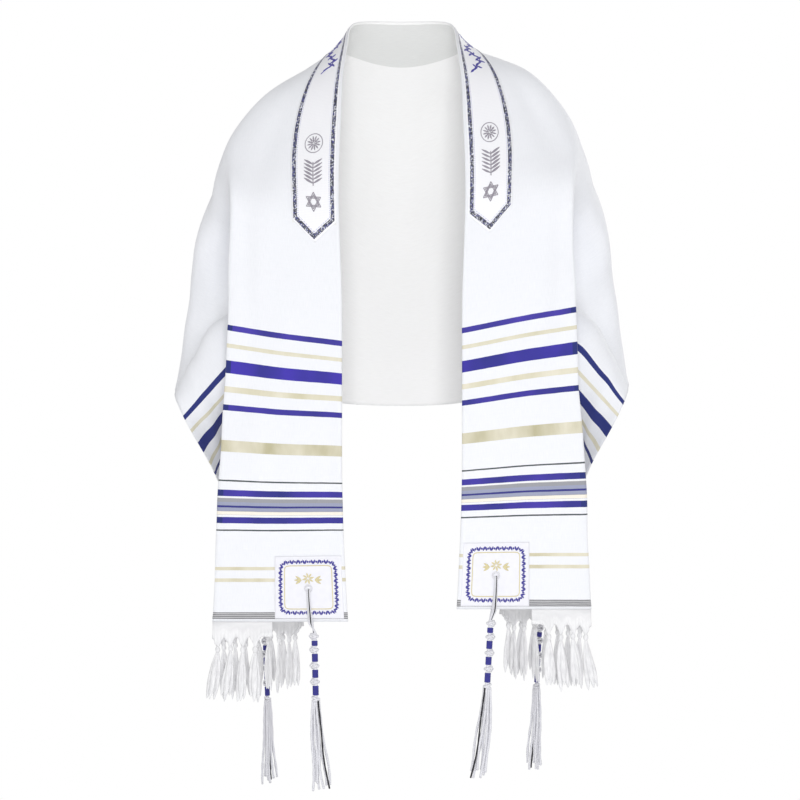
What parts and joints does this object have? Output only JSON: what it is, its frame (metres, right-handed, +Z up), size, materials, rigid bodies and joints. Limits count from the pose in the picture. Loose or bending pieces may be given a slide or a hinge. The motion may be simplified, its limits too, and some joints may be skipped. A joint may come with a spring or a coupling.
{
  "type": "tallit prayer shawl",
  "caption": "Striped wool prayer shawl, worn round the neck and over both shoulders, with neckband, corner patches, fringed ends and knotted corner tassels.",
  "frame": {"origin": "middle of the shawl's upper edge, at the nape of the wearer's neck", "axes": "+Z up; the wearer faces -Y; +X to the wearer's left"},
  "size_m": [0.6136, 0.3391, 1.0258],
  "materials": {
    "striped_wool": "fine plain-woven wool, white with blue, gold and grey stripes",
    "band_weave": "satin-faced woven band with a dark mottled border",
    "patch_weave": "woven patch with blue and gold ornament",
    "fringe_yarn": "soft brushed wool yarn",
    "tassel_cord": "twisted wool cord, wound with blue thread"
  },
  "bodies": {
    "root": {"shawl_cloth": "striped_wool", "neckband": "band_weave", "patch_front_right": "patch_weave", "patch_front_left": "patch_weave", "patch_rear_right": "patch_weave", "patch_rear_left": "patch_weave", "fringe_right": "fringe_yarn", "fringe_left": "fringe_yarn", "tzitzit_front_right": "tassel_cord", "tzitzit_front_left": "tassel_cord", "tzitzit_rear_right": "tassel_cord", "tzitzit_rear_left": "tassel_cord"}
  },
  "joints": []
}
